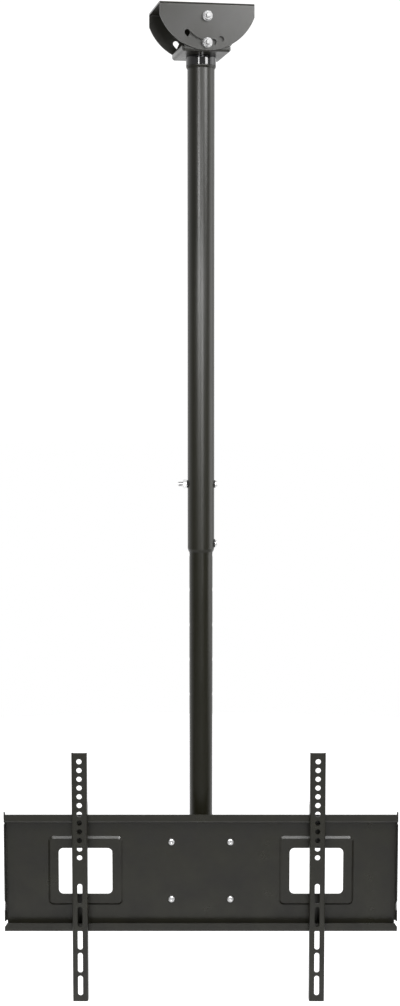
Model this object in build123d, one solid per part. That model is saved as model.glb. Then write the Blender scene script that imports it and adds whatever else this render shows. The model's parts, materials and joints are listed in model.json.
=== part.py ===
from build123d import *
import os
from math import cos, radians, sin, sqrt

# Television ceiling mount, in millimetres.
# The origin is on the pole's axis, in the face that meets the ceiling.
# +Z points up, the television hangs on the -Y side and +X is to the right of someone who faces it.

# Ceiling bracket: one folded sheet with two half-round cheeks, standing a little turned about the pole
BRACKET_TURN = 10.3
BRACKET_LENGTH = 154.4
BRACKET_DEPTH = 116.2
BRACKET_SHEET = 3.0
CHEEK_RADIUS = 82.6
CHEEK_CENTRE_Z = 7.3
PIVOT_DROP = 21.6
CEILING_PCD = 100.0
CEILING_HOLE = 9.0
CEILING_HOLE_COUNT = 4

# Arc slot for the lock bolts, with angles from straight down and a spare hole beside the slot
LOCK_RADIUS = 42.0
LOCK_SLOT_LEFT = 51.0
LOCK_SLOT_RIGHT = 14.0
SPARE_HOLE_ANGLE = 32.0
SLOT_CLEARANCE = 0.7

# Saddle that hangs between the cheeks
SADDLE_WIDTH = 80.0
SADDLE_SHEET = 3.0
SADDLE_BELOW_CHEEKS = 1.0
SADDLE_RIM = 9.0
SADDLE_END_RISE = 8.5
SADDLE_CORNER_GAP = 0.5
EAR_RADIUS = 14.0

# Folds, gaps and fits
FOLD_RADIUS = 1.5
SIDE_GAP = 0.3
RUNNING_FIT = 0.05
BOLT_CLEARANCE = 0.25
THREAD_FIT = 0.05
EDGE_BREAK = 0.5

# Fasteners, in shares of their thread
HEX_HEAD_RATIO = 0.65
NUT_HEIGHT_RATIO = 0.8
WASHER_DIAMETER_RATIO = 2.0
WASHER_THICKNESS_RATIO = 0.2
DOME_DIAMETER_RATIO = 1.85
DOME_HEIGHT_RATIO = 0.6
DOME_SOCKET_RATIO = 0.6
BOLT_TAIL_RATIO = 0.5
SHORT_TAIL_RATIO = 0.3

# Turned corners of a hexagon, in shares of its height and corner, and rounds of domed heads, of their height
HEX_BEVEL_HEIGHT_RATIO = 0.2
HEX_BEVEL_WIDTH_RATIO = 0.13
DOME_ROUND_RATIO = 0.9
SOCKET_ROUND_RATIO = 0.6

# Swivel under the saddle
SWIVEL_BOLT = 12.0
COLLAR_DIAMETER = 49.6
COLLAR_HEIGHT = 15.8
THRUST_THICKNESS = 1.2
PLUG_THICKNESS = 8.0
RING_HEIGHT = 3.9
RING_DIAMETER = 49.2
RING_LIP = 1.0

# Pole: two tubes, held at one of a row of holes by a cross bolt
UPPER_DIAMETER = 44.8
UPPER_WALL = 2.4
UPPER_LENGTH = 817.2
UPPER_END_TAPER = 5.0
UPPER_END_INSET = 1.5
LOWER_WALL = 2.0
LOWER_LENGTH = 639.0
TUBE_GAP = 0.3
HEIGHT_BOLT = 8.0
HEIGHT_BOLT_ABOVE_END = 114.0
HEIGHT_HOLE_COUNT = 7
HEIGHT_HOLE_PITCH = 60.0
HEIGHT_HOLE_MARGIN = 25.0
HEIGHT_BOLT_TAIL = 8.0
HEIGHT_HEAD_DIAMETER = 12.8
HEIGHT_HEAD_HEIGHT = 4.4
CLAMP_SCREW = 6.0
CLAMP_ABOVE_END = 13.5
CLAMP_WASHER_DIAMETER = 14.0
RUBBER_WASHER = 1.5

# Foot on the pole's lower end, and the head that tilts on it
FOOT_SHEET = 3.0
FOOT_DEPTH = 44.0
FOOT_PIVOT_DROP = 27.0
FOOT_END_RADIUS = 13.0
HEAD_SHEET = 3.0
HEAD_WIDTH = 130.0
HEAD_HEIGHT = 124.0
HEAD_EDGE = 15.0
HEAD_LOCK_RADIUS = 42.0
TILT_DOWN = 15.0
TILT_UP = 5.0
TILT_SLOT_SPARE = 3.0
BRACKET_BOLT = 8.0

# Rail plate that carries the arms
PLATE_WIDTH = 666.0
PLATE_SHEET = 2.0
PLATE_FACE_Y = -42.0
PLATE_CENTRE_DROP = 15.0
PLATE_TOP = 101.0
PLATE_BOTTOM = -102.6
LIP_HEIGHT = 14.5
LEDGE_DEPTH = 14.0
LIP_STOP_HEIGHT = 4.5
LIP_STOP_WIDTH = 2.5
LIP_END_CUT_WIDTH = 4.0
LIP_END_CUT_HEIGHT = 6.0
END_FLANGE_TOP = 84.0
END_FLANGE_BOTTOM = -87.0
END_FLANGE_SLANT = 3.0
END_NOTCH_Z = -54.0
END_NOTCH_HEIGHT = 16.0
END_NOTCH_DEPTH = 9.0
WINDOW_WIDTH = 91.0
WINDOW_HEIGHT = 80.0
WINDOW_RADIUS = 8.0
WINDOW_X = 196.0
PAD_WIDTH = 127.0
PAD_HEIGHT = 120.0
PAD_RADIUS = 9.0
PAD_RAISE = 3.0
PAD_SLOPE = 50.0
PLATE_SCREW = 6.0
PLATE_SCREW_PITCH = 100.0

# Arms: folded channels that hook over both lips of the rail plate
ARM_X_LEFT = -204.0
ARM_X_RIGHT = 196.0
ARM_WIDTH = 26.0
ARM_SHEET = 2.0
ARM_TOP = 211.5
ARM_TOP_SLANT = 3.0
ARM_STAND_OFF = 30.0
ARM_HOLE = 9.0
ARM_HOLE_COUNT = 12
ARM_HOLE_PITCH = 15.0
ARM_SLOT_COUNT = 5
ARM_SLOT_PITCH = 40.0
ARM_SLOT_LENGTH = 34.75
ARM_SLOT_WIDTH = 8.4
ARM_SLOT_GAP = 45.0
ARM_END_MARGIN = 10.25
HOOK_CLEARANCE = 1.0
HOOK_REST_GAP = 0.3
HOOK_DEPTH = 9.0
HOOK_BACK_GAP = 2.0
HOOK_CROWN = 12.0

# Heights down the mount, worked out from the sizes above
pivot_z = -PIVOT_DROP
cheek_bottom = CHEEK_CENTRE_Z - CHEEK_RADIUS
saddle_under = cheek_bottom - SADDLE_BELOW_CHEEKS
saddle_floor = saddle_under + SADDLE_SHEET
thrust_under = saddle_under - THRUST_THICKNESS
tube_top = thrust_under - SIDE_GAP
collar_bottom = saddle_under - COLLAR_HEIGHT
tube_end = tube_top - UPPER_LENGTH
height_bolt_z = tube_end + HEIGHT_BOLT_ABOVE_END
lower_top = height_bolt_z + HEIGHT_HOLE_MARGIN
foot_top = lower_top - LOWER_LENGTH
tilt_z = foot_top - FOOT_PIVOT_DROP
plate_z = tilt_z - PLATE_CENTRE_DROP

# Widths and depths that follow from what they fit
saddle_gap = WASHER_THICKNESS_RATIO * BRACKET_BOLT + SIDE_GAP
saddle_depth = BRACKET_DEPTH - 2 * (BRACKET_SHEET + saddle_gap)
upper_radius = UPPER_DIAMETER / 2
upper_bore = upper_radius - UPPER_WALL
lower_radius = upper_bore - TUBE_GAP
foot_width = HEAD_WIDTH - 2 * HEAD_SHEET - 2 * SIDE_GAP
plate_back = PLATE_FACE_Y + PLATE_SHEET
lip_front = PLATE_FACE_Y - LEDGE_DEPTH
lip_back = lip_front + PLATE_SHEET
arm_front = PLATE_FACE_Y - ARM_STAND_OFF
arm_first_slot = ARM_HOLE_PITCH * ARM_HOLE_COUNT + ARM_SLOT_GAP + ARM_SLOT_LENGTH / 2
arm_last_slot = arm_first_slot + ARM_SLOT_PITCH * (ARM_SLOT_COUNT - 1)
arm_length = arm_last_slot + ARM_SLOT_LENGTH / 2 + ARM_END_MARGIN
slot_width = BRACKET_BOLT + 2 * SLOT_CLEARANCE
bolt_hole = BRACKET_BOLT + 2 * RUNNING_FIT

# Turns that aim a fastener, made along +Z, at another direction
AIM_LEFT = Rot(0, -90, 0)
AIM_RIGHT = Rot(0, 90, 0)
AIM_FRONT = Rot(90, 0, 0)
AIM_BACK = Rot(-90, 0, 0)
AIM_DOWN = Rot(180, 0, 0)


# Standard fasteners
def across_flats(thread):
    return 1.5 * thread + 1


def washer_thickness(thread):
    return WASHER_THICKNESS_RATIO * thread


def nut_height(thread):
    return NUT_HEIGHT_RATIO * thread


def hexagon(thread, height):
    """Hexagon block with its outer corners turned off at the top."""
    corner = across_flats(thread) / sqrt(3)
    turned = Cylinder(corner, height, align=(Align.CENTER, Align.CENTER, Align.MIN))
    rim = turned.edges().group_by(Axis.Z)[-1]
    turned = chamfer(rim, HEX_BEVEL_HEIGHT_RATIO * height, HEX_BEVEL_WIDTH_RATIO * corner)
    block = extrude(RegularPolygon(across_flats(thread) / 2, 6, major_radius=False), height)
    return block & turned


def rod(diameter, start, end):
    """Round bar along Z between two heights."""
    return Pos(0, 0, start) * extrude(Circle(diameter / 2), end - start)


def hex_bolt(thread, length):
    """Bolt with its head below zero and its shank up to the length."""
    head = AIM_DOWN * hexagon(thread, HEX_HEAD_RATIO * thread)
    shank = rod(thread, -EDGE_BREAK, length)
    shank = chamfer(shank.edges().group_by(Axis.Z)[-1], EDGE_BREAK)
    return head + shank


def dome_bolt(thread, length, head_diameter, head_height, head_round):
    """Bolt with a domed head below zero and its shank up to the length."""
    head = Cylinder(head_diameter / 2, head_height, align=(Align.CENTER, Align.CENTER, Align.MAX))
    head = fillet(head.edges().group_by(Axis.Z)[0], head_round)
    return head + rod(thread, -EDGE_BREAK, length)


def socket_screw(thread, length):
    """Dome-headed screw with a hexagon socket in its head."""
    head_height = DOME_HEIGHT_RATIO * thread
    socket = RegularPolygon(DOME_SOCKET_RATIO * thread / 2, 6, major_radius=False)
    key = extrude(socket, DOME_SOCKET_RATIO * head_height)
    head_round = SOCKET_ROUND_RATIO * head_height
    body = dome_bolt(thread, length, DOME_DIAMETER_RATIO * thread, head_height, head_round)
    return body - Pos(0, 0, -head_height) * key


def nut(thread):
    return hexagon(thread, nut_height(thread)) - rod(thread + 2 * THREAD_FIT, -1, 2 * thread)


def washer(thread):
    ring = Circle(WASHER_DIAMETER_RATIO * thread / 2) - Circle(thread / 2 + BOLT_CLEARANCE)
    return extrude(ring, washer_thickness(thread))


def bolt_stack(thread, grip, place):
    """Bolt, washer and nut that clamp a grip, with the bolt's head at the place."""
    washer_top = grip + washer_thickness(thread)
    end = washer_top + nut_height(thread) + BOLT_TAIL_RATIO * thread
    return (
        place * hex_bolt(thread, end),
        place * Pos(0, 0, grip) * washer(thread),
        place * Pos(0, 0, washer_top) * nut(thread),
    )


# Folded sheets
def folded(plane, points, radii, thickness, side):
    """Section of a folded sheet, from the line of one of its faces."""
    with BuildSketch(plane) as section:
        with BuildLine():
            FilletPolyline(*points, radius=radii)
            offset(amount=thickness, side=side)
        make_face()
    return section.sketch


def channel(plane, half_width, back, front, thickness):
    """U section: a web at the back value, with two legs that reach to the front value."""
    outer_bend = FOLD_RADIUS + thickness
    points = [(-half_width, front), (-half_width, back), (half_width, back), (half_width, front)]
    side = Side.LEFT if back < front else Side.RIGHT
    return folded(plane, points, outer_bend, thickness, side)


def arc_slot(centre, radius, start, end, width):
    """Slot along an arc, with its angles from straight down, positive to the right."""
    path = CenterArc(centre, radius, start - 90, end - start)
    return SlotArc(path, width)


def across(diameter, plane, length, *centres):
    """Round cutters square to a plane, one at each centre."""
    return [
        plane * Pos(*centre, 0) * Cylinder(diameter / 2, length)
        for centre in centres
    ]


def ceiling_bracket():
    half = BRACKET_LENGTH / 2
    straight = CHEEK_CENTRE_Z - sqrt(CHEEK_RADIUS**2 - half**2)
    with BuildSketch(Plane.XZ) as outline:
        with BuildLine():
            Polyline((-half, straight), (-half, 0), (half, 0), (half, straight))
            ThreePointArc((half, straight), (0, cheek_bottom), (-half, straight))
        make_face()
    section = channel(Plane.YZ, BRACKET_DEPTH / 2, 0, cheek_bottom, BRACKET_SHEET)
    body = extrude(section, half, both=True)
    body &= extrude(outline.sketch, BRACKET_DEPTH, both=True)
    lock_slot = arc_slot((0, pivot_z), LOCK_RADIUS, -LOCK_SLOT_LEFT, LOCK_SLOT_RIGHT, slot_width)
    body -= extrude(Plane.XZ * lock_slot, BRACKET_DEPTH, both=True)
    spare = Plane.XZ * Pos(0, pivot_z, 0) * Rot(0, 0, SPARE_HOLE_ANGLE) * Pos(0, -LOCK_RADIUS, 0)
    body -= spare * Cylinder(slot_width / 2, 2 * BRACKET_DEPTH)
    body -= across(bolt_hole, Plane.XZ, 2 * BRACKET_DEPTH, (0, pivot_z))
    for place in PolarLocations(CEILING_PCD / 2, CEILING_HOLE_COUNT, start_angle=45):
        body -= place * Cylinder(CEILING_HOLE / 2, 4 * BRACKET_SHEET)
    return body


def saddle():
    """Folded tray: tall ears at the front and the back, with short turned-up ends between them."""
    outer_bend = FOLD_RADIUS + SADDLE_SHEET
    ear_width = SADDLE_WIDTH - 2 * (SADDLE_SHEET + SADDLE_CORNER_GAP)
    end_depth = saddle_depth - 2 * (outer_bend + SADDLE_CORNER_GAP)
    with BuildSketch(Plane.XZ) as outline:
        with Locations((0, pivot_z)):
            Circle(EAR_RADIUS)
        with Locations((0, saddle_under + SADDLE_RIM / 2)):
            Rectangle(ear_width, SADDLE_RIM)
        make_hull()
    ear_top = pivot_z + EAR_RADIUS
    section = channel(Plane.YZ, saddle_depth / 2, saddle_under, ear_top, SADDLE_SHEET)
    ears = extrude(section, SADDLE_WIDTH, both=True) & extrude(outline.sketch, saddle_depth, both=True)
    end_top = saddle_under + SADDLE_END_RISE
    tray = channel(Plane.XZ, SADDLE_WIDTH / 2, saddle_under, end_top, SADDLE_SHEET)
    ends = extrude(tray, end_depth / 2, both=True)
    strip = Box(SADDLE_WIDTH - 2 * outer_bend, end_depth, SADDLE_RIM)
    corners = Box(SADDLE_WIDTH, end_depth, SADDLE_RIM) - strip
    body = ears - Pos(0, 0, saddle_under) * corners + ends
    body -= across(bolt_hole, Plane.XZ, 2 * saddle_depth, (0, pivot_z), (0, pivot_z - LOCK_RADIUS))
    body -= Pos(0, 0, saddle_under) * Cylinder(SWIVEL_BOLT / 2 + BOLT_CLEARANCE, 4 * SADDLE_SHEET)
    return body


def saddle_fasteners():
    """Pivot and lock bolts at the front and the back, with nuts and a washer on each side of the cheeks."""
    inner = saddle_depth / 2 - SADDLE_SHEET
    grip = SADDLE_SHEET + saddle_gap + BRACKET_SHEET + SIDE_GAP
    groups = {"pivot_bolts": [], "lock_bolts": [], "bracket_washers": [], "bracket_nuts": []}
    for kind, height in (("pivot_bolts", pivot_z), ("lock_bolts", pivot_z - LOCK_RADIUS)):
        for aim, y in ((AIM_FRONT, -inner), (AIM_BACK, inner)):
            place = Pos(0, y, height) * aim
            bolt, ring, cap = bolt_stack(BRACKET_BOLT, grip, place)
            spacer = place * Pos(0, 0, SADDLE_SHEET) * washer(BRACKET_BOLT)
            groups[kind].append(bolt)
            groups["bracket_washers"] += [spacer, ring]
            groups["bracket_nuts"].append(cap)
    return groups


def swivel_fasteners():
    """Swivel bolt from the saddle down through the plug, with its two washers and its nut."""
    plate = washer_thickness(SWIVEL_BOLT)
    head_z = saddle_floor + plate
    nut_washer_z = tube_top - PLUG_THICKNESS - SIDE_GAP
    nut_z = nut_washer_z - plate
    end = nut_z - nut_height(SWIVEL_BOLT) - SHORT_TAIL_RATIO * SWIVEL_BOLT
    bolt = Pos(0, 0, head_z) * AIM_DOWN * hex_bolt(SWIVEL_BOLT, head_z - end)
    washers = [
        Pos(0, 0, saddle_floor) * washer(SWIVEL_BOLT),
        Pos(0, 0, nut_washer_z) * AIM_DOWN * washer(SWIVEL_BOLT),
    ]
    return {
        "swivel_bolt": [bolt],
        "swivel_washers": washers,
        "swivel_nut": [Pos(0, 0, nut_z) * AIM_DOWN * nut(SWIVEL_BOLT)],
    }


def swivel_collar():
    """Glossy collar under the saddle, around the top of the pole."""
    ring = Circle(COLLAR_DIAMETER / 2) - Circle(upper_radius + SIDE_GAP)
    body = Pos(0, 0, collar_bottom) * extrude(ring, COLLAR_HEIGHT)
    rim = body.edges().filter_by(GeomType.CIRCLE).sort_by(SortBy.RADIUS)[-2:]
    return fillet(rim.sort_by(Axis.Z)[0], EDGE_BREAK)


def thrust_washer():
    ring = Circle(upper_radius - UPPER_WALL) - Circle(SWIVEL_BOLT / 2 + BOLT_CLEARANCE)
    return Pos(0, 0, thrust_under) * extrude(ring, THRUST_THICKNESS)


def tube_end_plug():
    """Turned plug that closes the top of the pole and turns on the swivel bolt."""
    ring = Circle(upper_bore) - Circle(SWIVEL_BOLT / 2 + RUNNING_FIT)
    return Pos(0, 0, tube_top - PLUG_THICKNESS) * extrude(ring, PLUG_THICKNESS)


def trim_ring():
    """Ring under the collar, with a straight rim and a taper down to the tube."""
    top = collar_bottom - SIDE_GAP
    with BuildSketch(Plane.XZ) as profile:
        with BuildLine():
            Polyline(
                (upper_radius, top),
                (RING_DIAMETER / 2, top),
                (RING_DIAMETER / 2, top - RING_LIP),
                (upper_radius + RING_LIP, top - RING_HEIGHT),
                (upper_radius, top - RING_HEIGHT),
                close=True,
            )
        make_face()
    return revolve(profile.sketch, Axis.Z)


def tube(radius, wall, top, length):
    ring = Circle(radius) - Circle(radius - wall)
    return Pos(0, 0, top - length) * extrude(ring, length)


def upper_tube():
    """Upper tube, drawn in at its lower end, with holes for the height bolt and the clamp screw."""
    end_radius = upper_radius - UPPER_END_INSET
    taper = Cone(end_radius, upper_radius, UPPER_END_TAPER, align=(Align.CENTER, Align.CENTER, Align.MIN))
    taper -= Cylinder(upper_bore, 4 * UPPER_END_TAPER)
    body = tube(upper_radius, UPPER_WALL, tube_top, UPPER_LENGTH - UPPER_END_TAPER)
    body += Pos(0, 0, tube_end) * taper
    bolt_hole_size = HEIGHT_BOLT + 2 * BOLT_CLEARANCE
    body -= Pos(0, 0, height_bolt_z) * AIM_RIGHT * Cylinder(bolt_hole_size / 2, 2 * UPPER_DIAMETER)
    screw_hole = Cylinder(
        CLAMP_SCREW / 2 + THREAD_FIT, UPPER_DIAMETER, align=(Align.CENTER, Align.CENTER, Align.MIN)
    )
    body -= Pos(0, 0, tube_end + CLAMP_ABOVE_END) * AIM_RIGHT * screw_hole
    return body


def lower_tube():
    body = tube(lower_radius, LOWER_WALL, lower_top, LOWER_LENGTH)
    hole = AIM_RIGHT * Cylinder(HEIGHT_BOLT / 2 + TUBE_GAP, UPPER_DIAMETER)
    for index in range(HEIGHT_HOLE_COUNT):
        body -= Pos(0, 0, height_bolt_z - index * HEIGHT_HOLE_PITCH) * hole
    return body


def saddle_washer(thread, diameter):
    """Black washer with one side hollowed to sit on the upper tube, made for the right-hand side."""
    face = upper_radius + RUBBER_WASHER
    hollow_depth = diameter**2 / (4 * UPPER_DIAMETER)
    blank = Pos(face, 0, 0) * AIM_LEFT * rod(diameter, 0, RUBBER_WASHER + hollow_depth)
    blank -= AIM_RIGHT * Cylinder(thread / 2 + BOLT_CLEARANCE, 4 * UPPER_DIAMETER)
    return blank - Cylinder(upper_radius, 2 * diameter)


def height_fasteners():
    """Cross bolt through both tubes, with its head on the right and its nut on the left."""
    at = Pos(0, 0, height_bolt_z)
    face = upper_radius + RUBBER_WASHER
    end = 2 * face + nut_height(HEIGHT_BOLT) + HEIGHT_BOLT_TAIL
    head_round = DOME_ROUND_RATIO * HEIGHT_HEAD_HEIGHT
    bolt = dome_bolt(HEIGHT_BOLT, end, HEIGHT_HEAD_DIAMETER, HEIGHT_HEAD_HEIGHT, head_round)
    ring = saddle_washer(HEIGHT_BOLT, HEIGHT_HEAD_DIAMETER)
    return {
        "height_bolt": [at * Pos(face, 0, 0) * AIM_LEFT * bolt],
        "height_nut": [at * Pos(-face, 0, 0) * AIM_LEFT * nut(HEIGHT_BOLT)],
        "height_washers": [at * ring, at * Rot(0, 0, 180) * ring],
    }


def clamp_fasteners():
    """Set screw low on the right of the upper tube, which steadies the lower tube."""
    at = Pos(0, 0, tube_end + CLAMP_ABOVE_END)
    face = upper_radius + RUBBER_WASHER
    screw = socket_screw(CLAMP_SCREW, face - upper_bore)
    return {
        "clamp_screw": [at * Pos(face, 0, 0) * AIM_LEFT * screw],
        "clamp_washer": [at * saddle_washer(CLAMP_SCREW, CLAMP_WASHER_DIAMETER)],
    }


def pole_foot():
    """Folded foot: a deck welded across the lower tube's end, with two cheeks that hang from it."""
    lock_z = tilt_z - HEAD_LOCK_RADIUS
    with BuildSketch(Plane.YZ) as outline:
        with Locations((0, foot_top - FOOT_PIVOT_DROP / 2)):
            Rectangle(FOOT_DEPTH, FOOT_PIVOT_DROP)
        with Locations((0, lock_z)):
            Circle(FOOT_END_RADIUS)
        make_hull()
    section = channel(Plane.XZ, foot_width / 2, foot_top, lock_z - FOOT_END_RADIUS, FOOT_SHEET)
    body = extrude(section, FOOT_DEPTH, both=True)
    body &= extrude(outline.sketch, foot_width, both=True)
    return body - across(bolt_hole, Plane.YZ, 2 * foot_width, (0, tilt_z), (0, lock_z))


def foot_fasteners():
    """Pivot and lock bolts, washers and nuts, on both sides of the foot."""
    inner = foot_width / 2 - FOOT_SHEET
    grip = FOOT_SHEET + SIDE_GAP + HEAD_SHEET + SIDE_GAP
    groups = {"tilt_pivot_bolts": [], "tilt_lock_bolts": [], "tilt_washers": [], "tilt_nuts": []}
    for kind, height in (("tilt_pivot_bolts", tilt_z), ("tilt_lock_bolts", tilt_z - HEAD_LOCK_RADIUS)):
        for aim, x in ((AIM_LEFT, -inner), (AIM_RIGHT, inner)):
            bolt, ring, cap = bolt_stack(BRACKET_BOLT, grip, Pos(x, 0, height) * aim)
            groups[kind].append(bolt)
            groups["tilt_washers"].append(ring)
            groups["tilt_nuts"].append(cap)
    return groups


def plate_screw_places():
    """Middles of the four screws, in the plane of the plate."""
    return [(place.position.X, plate_z + place.position.Y)
            for place in GridLocations(PLATE_SCREW_PITCH, PLATE_SCREW_PITCH, 2, 2)]


def tilt_head():
    """Folded head: a web on the back of the rail plate and two cheeks with arc slots."""
    head_top = plate_z + HEAD_HEIGHT / 2
    head_bottom = plate_z - HEAD_HEIGHT / 2
    slot = arc_slot(
        (0, tilt_z),
        HEAD_LOCK_RADIUS,
        -TILT_DOWN - TILT_SLOT_SPARE,
        TILT_UP + TILT_SLOT_SPARE,
        slot_width,
    )
    with BuildSketch(Plane.YZ) as outline:
        with Locations((plate_back + HEAD_SHEET, plate_z)):
            Rectangle(2 * HEAD_SHEET, HEAD_HEIGHT)
        with Locations((0, tilt_z)):
            Circle(HEAD_EDGE)
        with Locations((0, tilt_z - HEAD_LOCK_RADIUS)):
            Circle(HEAD_EDGE)
        make_hull()
    section = channel(Plane.XY, HEAD_WIDTH / 2, plate_back, HEAD_EDGE, HEAD_SHEET)
    body = Pos(0, 0, head_bottom) * extrude(section, head_top - head_bottom)
    body &= extrude(outline.sketch, HEAD_WIDTH, both=True)
    body -= extrude(Plane.YZ * slot, HEAD_WIDTH, both=True)
    body -= across(bolt_hole, Plane.YZ, 2 * HEAD_WIDTH, (0, tilt_z))
    screw_hole = PLATE_SCREW + 2 * BOLT_CLEARANCE
    plane = Plane.XZ.offset(-plate_back)
    return body - across(screw_hole, plane, 4 * HEAD_SHEET, *plate_screw_places())


def rail_section():
    """Section of the rail plate: lower lip, ledge, face, upper ledge and upper lip."""
    outer_bend = FOLD_RADIUS + PLATE_SHEET
    ledge_z = PLATE_TOP - LIP_HEIGHT + PLATE_SHEET
    points = [
        (lip_front, plate_z + PLATE_BOTTOM + LIP_HEIGHT),
        (lip_front, plate_z + PLATE_BOTTOM),
        (plate_back, plate_z + PLATE_BOTTOM),
        (plate_back, plate_z + ledge_z),
        (lip_back, plate_z + ledge_z),
        (lip_back, plate_z + PLATE_TOP),
    ]
    radii = [outer_bend, outer_bend, outer_bend, FOLD_RADIUS]
    return folded(Plane.YZ, points, radii, PLATE_SHEET, Side.LEFT)


def end_flange():
    """Flange bent forward at the right-hand end of the face, with a notch in its front edge."""
    half = PLATE_WIDTH / 2
    outer_bend = FOLD_RADIUS + PLATE_SHEET
    inner_end = half - outer_bend
    section = folded(
        Plane.XY,
        [(inner_end, plate_back), (half, plate_back), (half, lip_front)],
        outer_bend - EDGE_BREAK,
        PLATE_SHEET,
        Side.RIGHT,
    )
    body = Pos(0, 0, plate_z + END_FLANGE_BOTTOM) * extrude(section, END_FLANGE_TOP - END_FLANGE_BOTTOM)
    notch_z = plate_z + END_NOTCH_Z
    notch_y = lip_front + END_NOTCH_DEPTH
    low = plate_z + END_FLANGE_BOTTOM
    with BuildSketch(Plane.YZ) as cuts:
        with BuildLine():
            Polyline(
                (lip_front, notch_z + END_NOTCH_HEIGHT / 3),
                (notch_y, notch_z),
                (lip_front, notch_z - 2 * END_NOTCH_HEIGHT / 3),
                close=True,
            )
        make_face()
        with BuildLine():
            Polyline(
                (lip_front, low + END_FLANGE_SLANT),
                (PLATE_FACE_Y, low),
                (lip_front, low),
                close=True,
            )
        make_face()
    return body - extrude(cuts.sketch, PLATE_WIDTH, both=True)


def raised_pad(x):
    """Pressed pad round a window: what it adds at the front and what it takes from the back."""
    front = Plane.XZ.offset(-PLATE_FACE_Y) * Pos(x, plate_z, 0)
    back = Plane.XZ.offset(-plate_back) * Pos(x, plate_z, 0)
    slope = radians(PAD_SLOPE)
    inset = PLATE_SHEET * (1 - sin(slope)) / cos(slope)
    form = RectangleRounded(PAD_WIDTH, PAD_HEIGHT, PAD_RADIUS)
    hollow_form = RectangleRounded(PAD_WIDTH - 2 * inset, PAD_HEIGHT - 2 * inset, PAD_RADIUS - inset)
    raised = extrude(front * form, PAD_RAISE, taper=PAD_SLOPE)
    hollow = extrude(back * hollow_form, PAD_RAISE, taper=PAD_SLOPE)
    return raised, hollow


def lip_corner(side):
    """What is cut off the upper corner of the lower lip, at the left end or at the right one."""
    end = side * PLATE_WIDTH / 2
    lip_top = plate_z + PLATE_BOTTOM + LIP_HEIGHT
    with BuildSketch(Plane.XZ.offset(-lip_back)) as corner:
        with BuildLine():
            Polyline(
                (end, lip_top),
                (end - side * LIP_END_CUT_WIDTH, lip_top),
                (end, lip_top - LIP_END_CUT_HEIGHT),
                close=True,
            )
        make_face()
    return extrude(corner.sketch, PLATE_SHEET)


def rail_plate():
    half = PLATE_WIDTH / 2
    body = extrude(rail_section(), half, both=True)
    ends = PLATE_WIDTH - 2 * (FOLD_RADIUS + PLATE_SHEET)
    face_top = plate_z + PLATE_TOP - LIP_HEIGHT - FOLD_RADIUS
    face_bottom = plate_z + PLATE_BOTTOM + PLATE_SHEET + FOLD_RADIUS
    for side in (-1, 1):
        corner = Box(PLATE_WIDTH - ends, 3 * PLATE_SHEET, face_top - face_bottom)
        body -= Pos(side * half, PLATE_FACE_Y, (face_top + face_bottom) / 2) * corner
        stop = Box(LIP_STOP_WIDTH, PLATE_SHEET, 2 * LIP_STOP_HEIGHT)
        stop_x = side * (half - LIP_STOP_WIDTH / 2)
        body += Pos(stop_x, (lip_front + lip_back) / 2, plate_z + PLATE_TOP) * stop
        raised, hollow = raised_pad(side * WINDOW_X)
        body = body + raised - hollow
        body -= lip_corner(side)
        window = RectangleRounded(WINDOW_WIDTH, WINDOW_HEIGHT, WINDOW_RADIUS)
        body -= extrude(Plane.XZ * Pos(side * WINDOW_X, plate_z, 0) * window, PLATE_WIDTH, both=True)
    flange = end_flange()
    body += flange
    body += mirror(flange, Plane.YZ)
    screw_hole = PLATE_SCREW + 2 * BOLT_CLEARANCE
    plane = Plane.XZ.offset(-PLATE_FACE_Y)
    return body - across(screw_hole, plane, 4 * PLATE_SHEET, *plate_screw_places())


def plate_fasteners():
    """Four dome-headed screws through the plate and the head, with washers and nuts behind."""
    grip = PLATE_SHEET + HEAD_SHEET
    washer_top = grip + washer_thickness(PLATE_SCREW)
    length = washer_top + nut_height(PLATE_SCREW) + SHORT_TAIL_RATIO * PLATE_SCREW
    screw = socket_screw(PLATE_SCREW, length)
    groups = {"plate_screws": [], "plate_washers": [], "plate_nuts": []}
    for x, z in plate_screw_places():
        place = Pos(x, PLATE_FACE_Y, z) * AIM_BACK
        groups["plate_screws"].append(place * screw)
        groups["plate_washers"].append(place * Pos(0, 0, grip) * washer(PLATE_SCREW))
        groups["plate_nuts"].append(place * Pos(0, 0, washer_top) * nut(PLATE_SCREW))
    return groups


def hook_points(lip_top, rest_gap):
    """Outline of one hook, from below its notch to above its crown, as points in depth and height."""
    flange_back = lip_front - HOOK_CLEARANCE
    tongue_front = lip_back + HOOK_CLEARANCE
    tongue_back = PLATE_FACE_Y - HOOK_BACK_GAP
    seat = lip_top + rest_gap
    tongue_end = lip_top - HOOK_DEPTH
    crown = seat + HOOK_CROWN
    return [
        (flange_back, seat),
        (tongue_front, seat),
        (tongue_front, tongue_end),
        (tongue_back, tongue_end),
        (tongue_back, crown),
        (flange_back, crown + tongue_back - flange_back),
    ]


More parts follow.
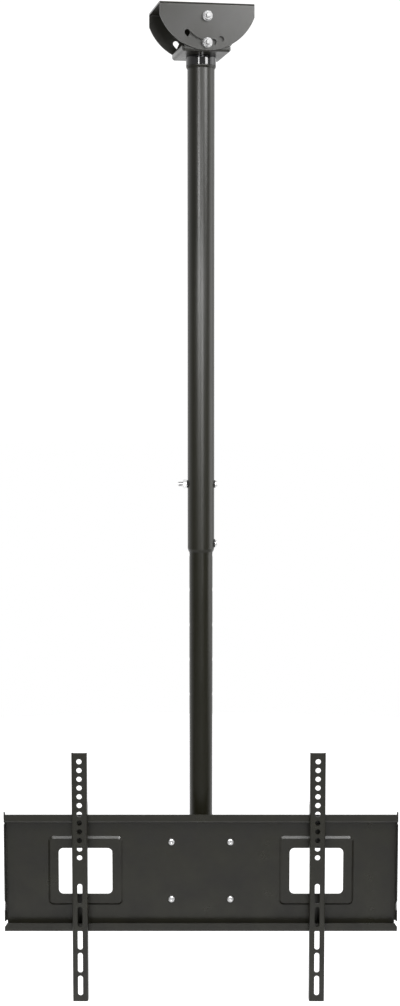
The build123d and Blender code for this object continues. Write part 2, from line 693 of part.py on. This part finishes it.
def arm(x):
    """One arm: a channel with its web at the front, holes, slots and two hooks in each flange."""
    top = plate_z + ARM_TOP
    bottom = top - arm_length
    flange_back = lip_front - HOOK_CLEARANCE
    tongue_back = PLATE_FACE_Y - HOOK_BACK_GAP
    lower_lip = plate_z + PLATE_BOTTOM + LIP_HEIGHT
    upper_lip = plate_z + PLATE_TOP
    outline = [(arm_front, bottom), (flange_back, bottom)]
    outline += hook_points(lower_lip, HOOK_CLEARANCE)
    outline += hook_points(upper_lip, HOOK_REST_GAP)
    outline += [(flange_back, top - ARM_TOP_SLANT), (arm_front, top)]
    with BuildSketch(Plane.YZ) as side_view:
        with BuildLine():
            Polyline(*outline, close=True)
        make_face()
    section = channel(Plane.XY, ARM_WIDTH / 2, arm_front, tongue_back, ARM_SHEET)
    body = Pos(0, 0, bottom) * extrude(section, arm_length)
    body &= extrude(side_view.sketch, ARM_WIDTH, both=True)
    plane = Plane.XZ.offset(-arm_front)
    holes = [(0, top - ARM_HOLE_PITCH * (index + 1)) for index in range(ARM_HOLE_COUNT)]
    body -= across(ARM_HOLE, plane, 4 * ARM_SHEET, *holes)
    for index in range(ARM_SLOT_COUNT):
        centre = top - arm_first_slot - ARM_SLOT_PITCH * index
        slot = plane * Pos(0, centre, 0) * Rot(0, 0, 90) * SlotOverall(ARM_SLOT_LENGTH, ARM_SLOT_WIDTH)
        body -= extrude(slot, 2 * ARM_SHEET, both=True)
    return Pos(x, 0, 0) * body


def turned(groups):
    """Groups of solids that stand turned about the pole with the ceiling bracket."""
    turn = Rot(0, 0, BRACKET_TURN)
    return {name: [turn * solid for solid in solids] for name, solids in groups.items()}


def write(groups):
    for name, shapes in groups.items():
        solids = [solid for shape in shapes for solid in shape.solids()]
        node = solids[0] if len(solids) == 1 else Compound(children=solids)
        node.label = name
        export_step(node, f"parts/{name}.step")


os.makedirs("parts", exist_ok=True)
write(turned({"ceiling_bracket": [ceiling_bracket()], "saddle": [saddle()]}))
write(turned(saddle_fasteners()))
write(swivel_fasteners())
write({
    "swivel_collar": [swivel_collar()],
    "thrust_washer": [thrust_washer()],
    "tube_end_plug": [tube_end_plug()],
    "trim_ring": [trim_ring()],
    "upper_tube": [upper_tube()],
    "lower_tube": [lower_tube()],
    "pole_foot": [pole_foot()],
    "tilt_head": [tilt_head()],
    "rail_plate": [rail_plate()],
    "left_arm": [arm(ARM_X_LEFT)],
    "right_arm": [arm(ARM_X_RIGHT)],
})
write(height_fasteners())
write(clamp_fasteners())
write(foot_fasteners())
write(plate_fasteners())
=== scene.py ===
import json
import math

import bpy
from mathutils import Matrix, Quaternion, Vector


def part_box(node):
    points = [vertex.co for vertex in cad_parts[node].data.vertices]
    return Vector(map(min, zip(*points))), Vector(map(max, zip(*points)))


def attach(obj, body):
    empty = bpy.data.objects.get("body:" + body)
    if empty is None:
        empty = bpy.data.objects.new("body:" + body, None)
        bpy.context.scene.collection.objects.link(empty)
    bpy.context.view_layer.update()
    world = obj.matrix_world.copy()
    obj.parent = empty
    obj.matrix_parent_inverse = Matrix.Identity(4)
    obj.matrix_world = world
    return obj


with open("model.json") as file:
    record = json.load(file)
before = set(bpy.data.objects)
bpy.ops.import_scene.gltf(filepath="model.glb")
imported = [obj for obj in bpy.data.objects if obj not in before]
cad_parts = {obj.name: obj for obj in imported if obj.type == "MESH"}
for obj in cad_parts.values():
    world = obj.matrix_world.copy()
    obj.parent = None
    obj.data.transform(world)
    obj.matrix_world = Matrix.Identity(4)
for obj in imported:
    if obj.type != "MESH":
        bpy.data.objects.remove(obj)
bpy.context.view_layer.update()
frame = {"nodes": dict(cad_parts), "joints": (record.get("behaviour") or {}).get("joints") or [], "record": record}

# Looks of a television ceiling mount, in metres, in the part's own frame:
# the ceiling is at z = 0, the pole runs down the Z axis and the screen plate faces -Y.
RIGHT = Vector((1, 0, 0))
BACK = Vector((0, 1, 0))

# Camera, at the photograph's viewing point and angle, for a picture of 400 by 1006
CAMERA_PLACE = (-0.0016, -2.794, -0.525)
CAMERA_PITCH = math.radians(84.11)
CAMERA_LENS = 59.575
CAMERA_SENSOR = 36.0

# Pale floor under a ceiling of common height; its glow grows from front to back over a span about its middle
FLOOR_PLACE = (0.0, 1.0, -2.5)
FLOOR_RADIUS = 4.7
FLOOR_SIDES = 96
FLOOR_GLOW = 0.8
FLOOR_GLOW_SPAN = (-1.0, 1.0)

# Light of the room in front of the part, at mid height, low down and high up, and behind it
WORLD_FRONT = 0.5
WORLD_FRONT_LOW = 0.03
WORLD_FRONT_HIGH = 0.1
WORLD_BACK = 1.1
WORLD_BACK_LOW = 0.65

# Where that light changes: the first three by how far a direction points up, the last by how far it
# points back
WORLD_FRONT_RISE = (-0.3, 0.1)
WORLD_FRONT_FADE = (0.15, 0.6)
WORLD_BACK_RISE = (-0.3, 0.0)
WORLD_FRONT_TO_BACK = (-0.3, 0.45)

# Soft light panels: bearing from the camera's side in degrees, distance, height, width and height of the
# panel, how far its top leans to the left in degrees, and glow
PANELS = {
    "front_panel": (-16, 3.2, 0.0, (0.55, 0.9), 20, 26.0),
    "middle_panel": (11, 3.2, -0.42, (0.6, 0.75), 20, 19.0),
    "right_panel": (36, 1.5, 0.40, (0.42, 1.0), 36, 15.0),
    "side_panel": (94, 2.6, -0.35, (1.7, 2.4), 0, 1.9),
}
TOP_PANEL_PLACE = (0.0, -0.9, -0.35)
TOP_PANEL_SIZE = (1.4, 0.6)
TOP_PANEL_GLOW = 7.5

# Bolts: radius of the two sizes, and the pitch of their threads
M6_RADIUS = 0.003
M8_RADIUS = 0.004
THREAD_PITCH = {M6_RADIUS: 0.001, M8_RADIUS: 0.00125}

# Threads: steps in a turn, height as a share of the pitch, turns over which a thread runs out at its ends,
# how far it stops before the bolt's tip as a share of the radius, and its profile as shares of pitch
# and height
THREAD_STEPS = 32
THREAD_RISE = 0.16
THREAD_RUN_OUT = 0.5
THREAD_SHORT = 0.125
THREAD_PROFILE = ((-0.49, -0.05), (-0.0588, 1.0), (0.0588, 1.0), (0.49, -0.05))

# Weld bead: radius, length of a ripple and steps in it, sides of the round face, depth of the root as a share
# of the radius, swelling of the ripples, and size and number of the slower waves round the tube
BEAD_RADIUS = 0.0021
BEAD_RIPPLE = 0.0028
BEAD_STEPS = 4
BEAD_SIDES = 10
BEAD_ROOT = 0.25
BEAD_SWELL = 0.14
BEAD_WAVE = 0.06
BEAD_WAVES = 5

# Span in which nearly all random values of a finish lie, and the detail of its larger clouds
NOISE_SPAN = (0.3, 0.7)
CLOUD_DETAIL = 3

# Finishes. DARK and LIGHT are linear colours and ROUGH holds two roughnesses, each pair at the two ends of
# the random values. RELIEF is depth and strength of a grain, SHEEN the mirror share, where 0.5 is common
# paint, CLEAR a clear coat on top, STRETCH a scale along each axis, and the other numbers are sizes of grain.
SHEET_DARK = (0.0026, 0.0021, 0.0002, 1)
SHEET_LIGHT = (0.0122, 0.0117, 0.0073, 1)
SHEET_SHEEN = 0.68
SHEET_ROUGH = (0.37, 0.27)
SHEET_CLOUD = 0.045
SHEET_SKIN = 0.0011
SHEET_RELIEF = (0.0003, 0.12)

TUBE_DARK = (0.0044, 0.0041, 0.0008, 1)
TUBE_LIGHT = (0.0058, 0.0055, 0.0020, 1)
UPPER_SHEEN = 0.52
UPPER_ROUGH = (0.31, 0.37)
LOWER_SHEEN = 0.47
LOWER_ROUGH = (0.28, 0.34)
TUBE_CLOUD = 0.06
TUBE_MARK = 0.0016
TUBE_MARK_STRETCH = (1, 1, 0.02)
TUBE_RELIEF = (0.00008, 0.15)

ZINC_DARK = (0.74, 0.74, 0.745, 1)
ZINC_LIGHT = (0.84, 0.84, 0.835, 1)
# Darker copy of the same zinc for the bracket's bolts, nuts and washers: painted shade that damps the bright light
# falling on the bracket
SHADED_ZINC_DARK = (0.30, 0.30, 0.303, 1)
SHADED_ZINC_LIGHT = (0.35, 0.35, 0.35, 1)
ZINC_ROUGH = (0.33, 0.28)
ZINC_TONE = 0.0028
ZINC_GRAIN = 0.0004
ZINC_RELIEF = (0.00002, 0.02)

ENAMEL_COLOUR = (0.006, 0.006, 0.006, 1)
ENAMEL_ROUGH = (0.06, 0.12)
ENAMEL_SPOT = 0.004
ENAMEL_CLEAR_SHARE = 0.2
ENAMEL_CLEAR_ROUGH = 0.04

RUBBER_DARK = (0.010, 0.010, 0.010, 1)
RUBBER_LIGHT = (0.020, 0.020, 0.019, 1)
RUBBER_ROUGH = (0.62, 0.78)
RUBBER_TONE = 0.003
RUBBER_GRAIN = 0.0005
RUBBER_RELIEF = (0.00006, 0.4)

NYLON_DARK = (0.66, 0.64, 0.56, 1)
NYLON_LIGHT = (0.78, 0.77, 0.70, 1)
NYLON_ROUGH = (0.38, 0.5)
NYLON_TONE = 0.006

FLOOR_DARK = (0.70, 0.70, 0.70, 1)
FLOOR_LIGHT = (0.75, 0.75, 0.75, 1)
FLOOR_ROUGH = (0.6, 0.7)
FLOOR_TONE = 0.8
WHITE = (1, 1, 1, 1)

# Pieces whose finish differs from the usual one of their slot
OWN_FINISH = {
    "upper_tube": "upper_coat",
    "tube_end_plug": "upper_coat",
    "trim_ring": "upper_coat",
    "lower_tube": "lower_coat",
    # The bracket's bolts, nuts and washers take the darker copy of the zinc, a painted shade
    "pivot_bolts": "shaded_zinc",
    "lock_bolts": "shaded_zinc",
    "bracket_washers": "shaded_zinc",
    "bracket_nuts": "shaded_zinc",
}


def add_node(tree, kind, inputs=None, **settings):
    """One shader node, with its settings and its inputs given as values or as sockets to link."""
    made = tree.nodes.new(kind)
    for key, value in settings.items():
        setattr(made, key, value)
    for key, value in (inputs or {}).items():
        if isinstance(value, bpy.types.NodeSocket):
            tree.links.new(value, made.inputs[key])
        else:
            made.inputs[key].default_value = value
    return made


def new_material(name):
    """Material with its node tree and its shader."""
    material = bpy.data.materials.new(name)
    material.use_nodes = True
    return material, material.node_tree, material.node_tree.nodes["Principled BSDF"]


def place_of(tree, stretch=(1, 1, 1)):
    """Coordinates in metres on the part, scaled along an axis if asked."""
    place = add_node(tree, "ShaderNodeTexCoord").outputs["Object"]
    return add_node(tree, "ShaderNodeMapping", {"Vector": place, "Scale": stretch}).outputs["Vector"]


def noise(tree, place, grain, detail=2.0):
    """Soft random values whose grain is a size in metres."""
    inputs = {"Vector": place, "Scale": 1 / grain, "Detail": detail}
    return add_node(tree, "ShaderNodeTexNoise", inputs).outputs["Fac"]


def shades(tree, value, dark, light):
    """Colour between two shades, by a random value."""
    mix = add_node(tree, "ShaderNodeValToRGB", {"Fac": value})
    for index, colour in enumerate((dark, light)):
        mix.color_ramp.elements[index].position = NOISE_SPAN[index]
        mix.color_ramp.elements[index].color = colour
    return mix.outputs["Color"]


def ramp(tree, value, span, low, high):
    """Number that runs from low to high while a value goes over a span."""
    inputs = {"Value": value, "From Min": span[0], "From Max": span[1], "To Min": low, "To Max": high}
    return add_node(tree, "ShaderNodeMapRange", inputs).outputs["Result"]


def spread(tree, value, limits):
    """Number between two limits, by a random value."""
    return ramp(tree, value, NOISE_SPAN, *limits)


def relief(tree, height, depth, strength):
    """Surface direction on a grain of some depth."""
    inputs = {"Height": height, "Distance": depth, "Strength": strength}
    return add_node(tree, "ShaderNodeBump", inputs).outputs["Normal"]


def link(tree, shader, **sockets):
    """Joins sockets to the shader's inputs of the same names."""
    for name, socket in sockets.items():
        tree.links.new(socket, shader.inputs[name.replace("_", " ")])


def sheet_coat():
    """Satin black powder coat on folded sheet: cloudy, with a fine pebbled skin."""
    material, tree, shader = new_material("sheet_coat")
    place = place_of(tree)
    shader.inputs["Specular IOR Level"].default_value = SHEET_SHEEN
    clouds = noise(tree, place, SHEET_CLOUD, CLOUD_DETAIL)
    skin = noise(tree, place, SHEET_SKIN)
    link(
        tree, shader,
        Base_Color=shades(tree, clouds, SHEET_DARK, SHEET_LIGHT),
        Roughness=spread(tree, clouds, SHEET_ROUGH),
        Normal=relief(tree, skin, *SHEET_RELIEF),
    )
    return material


def tube_coat(name, sheen, rough):
    """Smoother black coat on a tube, with faint draw marks along it."""
    material, tree, shader = new_material(name)
    shader.inputs["Specular IOR Level"].default_value = sheen
    clouds = noise(tree, place_of(tree), TUBE_CLOUD, CLOUD_DETAIL)
    marks = noise(tree, place_of(tree, TUBE_MARK_STRETCH), TUBE_MARK)
    link(
        tree, shader,
        Base_Color=shades(tree, clouds, TUBE_DARK, TUBE_LIGHT),
        Roughness=spread(tree, marks, rough),
        Normal=relief(tree, marks, *TUBE_RELIEF),
    )
    return material


def zinc(name, dark, light):
    """Zinc plate, slightly uneven in shade and gloss."""
    material, tree, shader = new_material(name)
    place = place_of(tree)
    tone = noise(tree, place, ZINC_TONE)
    grain = noise(tree, place, ZINC_GRAIN)
    shader.inputs["Metallic"].default_value = 1.0
    link(
        tree, shader,
        Base_Color=shades(tree, tone, dark, light),
        Roughness=spread(tree, tone, ZINC_ROUGH),
        Normal=relief(tree, grain, *ZINC_RELIEF),
    )
    return material


def gloss_black():
    """Polished black enamel of the swivel collar, with a few dull spots."""
    material, tree, shader = new_material("gloss_black")
    shader.inputs["Base Color"].default_value = ENAMEL_COLOUR
    shader.inputs["Coat Weight"].default_value = ENAMEL_CLEAR_SHARE
    shader.inputs["Coat Roughness"].default_value = ENAMEL_CLEAR_ROUGH
    spots = noise(tree, place_of(tree), ENAMEL_SPOT)
    link(tree, shader, Roughness=spread(tree, spots, ENAMEL_ROUGH))
    return material


def black_rubber():
    """Moulded black rubber washers."""
    material, tree, shader = new_material("black_rubber")
    place = place_of(tree)
    tone = noise(tree, place, RUBBER_TONE)
    grain = noise(tree, place, RUBBER_GRAIN)
    link(
        tree, shader,
        Base_Color=shades(tree, tone, RUBBER_DARK, RUBBER_LIGHT),
        Roughness=spread(tree, tone, RUBBER_ROUGH),
        Normal=relief(tree, grain, *RUBBER_RELIEF),
    )
    return material


def nylon():
    """Natural nylon of the thrust washer."""
    material, tree, shader = new_material("nylon")
    tone = noise(tree, place_of(tree), NYLON_TONE)
    link(
        tree, shader,
        Base_Color=shades(tree, tone, NYLON_DARK, NYLON_LIGHT),
        Roughness=spread(tree, tone, NYLON_ROUGH),
    )
    return material


def floor_paint():
    """Pale floor, with a glow behind the part as of a lit backdrop."""
    material, tree, shader = new_material("floor_paint")
    place = place_of(tree)
    tone = noise(tree, place, FLOOR_TONE)
    depth = add_node(tree, "ShaderNodeSeparateXYZ", {"Vector": place}).outputs["Y"]
    shader.inputs["Emission Color"].default_value = WHITE
    link(
        tree, shader,
        Base_Color=shades(tree, tone, FLOOR_DARK, FLOOR_LIGHT),
        Roughness=spread(tree, tone, FLOOR_ROUGH),
        Emission_Strength=ramp(tree, depth, FLOOR_GLOW_SPAN, 0.0, FLOOR_GLOW),
    )
    return material


def dress(node, material):
    """Gives a solid of the frame its finish."""
    mesh = frame["nodes"][node].data
    mesh.materials.clear()
    mesh.materials.append(material)


def new_piece(name, points, faces, body, material):
    """Mesh of its own that moves with a body."""
    mesh = bpy.data.meshes.new(name)
    mesh.from_pydata(points, [], faces)
    mesh.validate()
    mesh.materials.append(material)
    mesh.shade_smooth()
    piece = bpy.data.objects.new(name, mesh)
    bpy.context.scene.collection.objects.link(piece)
    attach(piece, body)


def square_to(axis):
    """Two directions that are square to an axis and to each other."""
    across = axis.orthogonal().normalized()
    return across, axis.cross(across)


def thread(name, body, material, centre, axis, start, end, radius):
    """Screw thread round the free end of a bolt, from one place on its axis to another."""
    pitch = THREAD_PITCH[radius]
    across, up = square_to(axis)
    count = round((end - start) / pitch * THREAD_STEPS)
    points = []
    for index in range(count + 1):
        angle = 2 * math.pi * index / THREAD_STEPS
        spoke = math.cos(angle) * across + math.sin(angle) * up
        turns_to_end = min(index, count - index) / THREAD_STEPS
        rise = THREAD_RISE * pitch * min(1.0, turns_to_end / THREAD_RUN_OUT)
        along = start + (end - start) * index / count
        for step, height in THREAD_PROFILE:
            points.append(centre + axis * (along + step * pitch) + spoke * (radius + rise * height))
    sides = len(THREAD_PROFILE)
    faces = []
    for index in range(count):
        first = index * sides
        for side in range(sides):
            after = (side + 1) % sides
            faces.append((first + side, first + after, first + sides + after, first + sides + side))
    faces.append(tuple(range(sides)))
    faces.append(tuple(reversed(range(count * sides, count * sides + sides))))
    new_piece(name, points, faces, body, material)


def highest_along(node, axis):
    """Highest place of a node along an axis through the origin."""
    return max(vertex.co.dot(axis) for vertex in frame["nodes"][node].data.vertices)


def middle(node):
    """Middle of a node's box."""
    low, high = (Vector(corner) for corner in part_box(node))
    return (low + high) / 2


def quarter_middles(node):
    """Middles of four pieces of a node, one in each quarter of its box seen from the front."""
    heart = middle(node)
    quarters = {}
    for vertex in frame["nodes"][node].data.vertices:
        quarter = (vertex.co.x > heart.x, vertex.co.z > heart.z)
        quarters.setdefault(quarter, []).append(vertex.co)
    middles = []
    for points in quarters.values():
        sides = [[point[axis] for point in points] for axis in range(3)]
        middles.append(Vector([(min(side) + max(side)) / 2 for side in sides]))
    return middles


def end_thread(name, bolts, nuts, body, centre, outward, radius):
    """Thread on the end of a bolt that stands out of its nut."""
    start = highest_along(nuts, outward)
    end = highest_along(bolts, outward) - radius * THREAD_SHORT
    foot = centre - outward * centre.dot(outward)
    material = frame["nodes"][bolts].data.materials[0]
    thread(name, body, material, foot, outward, start, end, radius)


def bolt_threads(bolts, nuts, body, axis, radius, signs):
    """Threads on the ends of bolts along one axis, on the sides given as signs."""
    for sign in signs:
        name = f"{bolts}_thread_{'front' if sign > 0 else 'back'}"
        end_thread(name, bolts, nuts, body, middle(bolts), sign * axis, radius)


def all_threads():
    """Threads on the bolts of the bracket, the tilt and the height, and on the plate's screws."""
    tilt = next(joint for joint in frame["joints"] if joint["name"] == "ceiling_tilt")
    bracket_axis = Vector(tilt["axis"]).normalized()
    for bolts in ("pivot_bolts", "lock_bolts"):
        bolt_threads(bolts, "bracket_nuts", "saddle", bracket_axis, M8_RADIUS, (-1, 1))
    for bolts in ("tilt_pivot_bolts", "tilt_lock_bolts"):
        bolt_threads(bolts, "tilt_nuts", "lower_pole", RIGHT, M8_RADIUS, (-1, 1))
    bolt_threads("height_bolt", "height_nut", "upper_pole", RIGHT, M8_RADIUS, (-1,))
    for number, centre in enumerate(quarter_middles("plate_screws"), start=1):
        name = f"plate_screws_thread_{number}"
        end_thread(name, "plate_screws", "plate_nuts", "screen_plate", centre, BACK, M6_RADIUS)


def weld_bead(name, body, material, centre, radius):
    """Rippled fillet weld round a tube that stands on a flat sheet."""
    count = BEAD_STEPS * round(2 * math.pi * radius / BEAD_RIPPLE)
    points = []
    for index in range(count):
        angle = 2 * math.pi * index / count
        spoke = Vector((math.cos(angle), math.sin(angle), 0))
        ripple = BEAD_SWELL * math.cos(2 * math.pi * index / BEAD_STEPS)
        swell = 1 + ripple + BEAD_WAVE * math.sin(BEAD_WAVES * angle)
        for side in range(BEAD_SIDES + 1):
            turn = math.pi / 2 * side / BEAD_SIDES
            out = BEAD_RADIUS * swell * math.cos(turn)
            rise = BEAD_RADIUS * swell * math.sin(turn)
            points.append(centre + spoke * (radius + out) + Vector((0, 0, rise)))
        points.append(centre + spoke * (radius - BEAD_RADIUS * BEAD_ROOT))
    ring = BEAD_SIDES + 2
    faces = []
    for index in range(count):
        first = index * ring
        following = (index + 1) % count * ring
        for side in range(ring):
            after = (side + 1) % ring
            faces.append((first + side, following + side, following + after, first + after))
    new_piece(name, points, faces, body, material)


def foot_weld(material):
    """Weld of the lower tube on top of its foot."""
    foot_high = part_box("pole_foot")[1]
    tube_low, tube_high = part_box("lower_tube")
    radius = (tube_high[0] - tube_low[0]) / 2
    weld_bead("foot_weld", "lower_pole", material, Vector((0, 0, foot_high[2])), radius)


def soft_light(name, size, glow):
    """Large soft light that the camera does not see, as bright as a surface of that glow."""
    lamp = bpy.data.lights.new(name, "AREA")
    lamp.shape = "RECTANGLE"
    lamp.size, lamp.size_y = size
    lamp.energy = glow * math.pi * size[0] * size[1]
    panel = bpy.data.objects.new(name, lamp)
    panel.visible_camera = False
    bpy.context.scene.collection.objects.link(panel)
    return panel


def soft_panel(name, bearing, distance, height, size, lean, glow):
    """Upright soft light on a bearing from the camera's side, positive to the right, aimed at the pole."""
    panel = soft_light(name, size, glow)
    turn = math.radians(bearing)
    panel.location = (distance * math.sin(turn), -distance * math.cos(turn), height)
    aim = Vector((0, 0, height)) - panel.location
    upright = aim.to_track_quat("-Z", "Y")
    panel.rotation_euler = (upright @ Quaternion((0, 0, 1), math.radians(lean))).to_euler()


def top_panel():
    """Soft light above and in front of the screen plate, aimed straight down."""
    soft_light("top_panel", TOP_PANEL_SIZE, TOP_PANEL_GLOW).location = TOP_PANEL_PLACE


def studio_world():
    """White room behind the part and a dimmer one behind the camera; the camera itself sees plain white."""
    world = bpy.data.worlds.new("studio")
    world.use_nodes = True
    tree = world.node_tree
    glow = tree.nodes["Background"]
    facing = add_node(tree, "ShaderNodeTexCoord").outputs["Generated"]
    sides = add_node(tree, "ShaderNodeSeparateXYZ", {"Vector": facing}).outputs
    rising = ramp(tree, sides["Z"], WORLD_FRONT_RISE, WORLD_FRONT_LOW, WORLD_FRONT)
    fading = ramp(tree, sides["Z"], WORLD_FRONT_FADE, WORLD_FRONT, WORLD_FRONT_HIGH)
    front = add_node(tree, "ShaderNodeMath", {0: rising, 1: fading}, operation="MINIMUM").outputs["Value"]
    back = ramp(tree, sides["Z"], WORLD_BACK_RISE, WORLD_BACK_LOW, WORLD_BACK)
    light = ramp(tree, sides["Y"], WORLD_FRONT_TO_BACK, front, back)
    seen = add_node(tree, "ShaderNodeLightPath").outputs["Is Camera Ray"]
    strength = add_node(tree, "ShaderNodeMath", {0: light, 1: seen}, operation="MAXIMUM").outputs["Value"]
    glow.inputs["Color"].default_value = WHITE
    tree.links.new(strength, glow.inputs["Strength"])
    bpy.context.scene.world = world


def floor():
    """Plain disc of floor under the part."""
    bpy.ops.mesh.primitive_circle_add(
        vertices=FLOOR_SIDES, radius=FLOOR_RADIUS, fill_type="NGON", location=FLOOR_PLACE
    )
    disc = bpy.context.object
    disc.name = "floor"
    disc.data.materials.append(floor_paint())


def camera():
    """Camera of the scene, level from side to side and looking a little down."""
    lens = bpy.data.cameras.new("camera")
    lens.sensor_width = CAMERA_SENSOR
    lens.lens = CAMERA_LENS
    view = bpy.data.objects.new("camera", lens)
    view.location = CAMERA_PLACE
    view.rotation_euler = (CAMERA_PITCH, 0, 0)
    bpy.context.scene.collection.objects.link(view)
    bpy.context.scene.camera = view


finishes = {
    "black_coat": sheet_coat(),
    "upper_coat": tube_coat("upper_coat", UPPER_SHEEN, UPPER_ROUGH),
    "lower_coat": tube_coat("lower_coat", LOWER_SHEEN, LOWER_ROUGH),
    "zinc": zinc("zinc", ZINC_DARK, ZINC_LIGHT),
    # Same zinc as above, darkened as painted shade for the bracket's hardware
    "shaded_zinc": zinc("shaded_zinc", SHADED_ZINC_DARK, SHADED_ZINC_LIGHT),
    "gloss_black": gloss_black(),
    "black_rubber": black_rubber(),
    "nylon": nylon(),
}
for subpart in frame["record"]["subparts"]:
    finish = OWN_FINISH.get(subpart["node"], subpart["material_slot"])
    dress(subpart["node"], finishes[finish])
all_threads()
foot_weld(finishes["lower_coat"])

for name, setting in PANELS.items():
    soft_panel(name, *setting)
top_panel()
studio_world()
floor()
camera()
bpy.context.scene.view_settings.view_transform = "Standard"
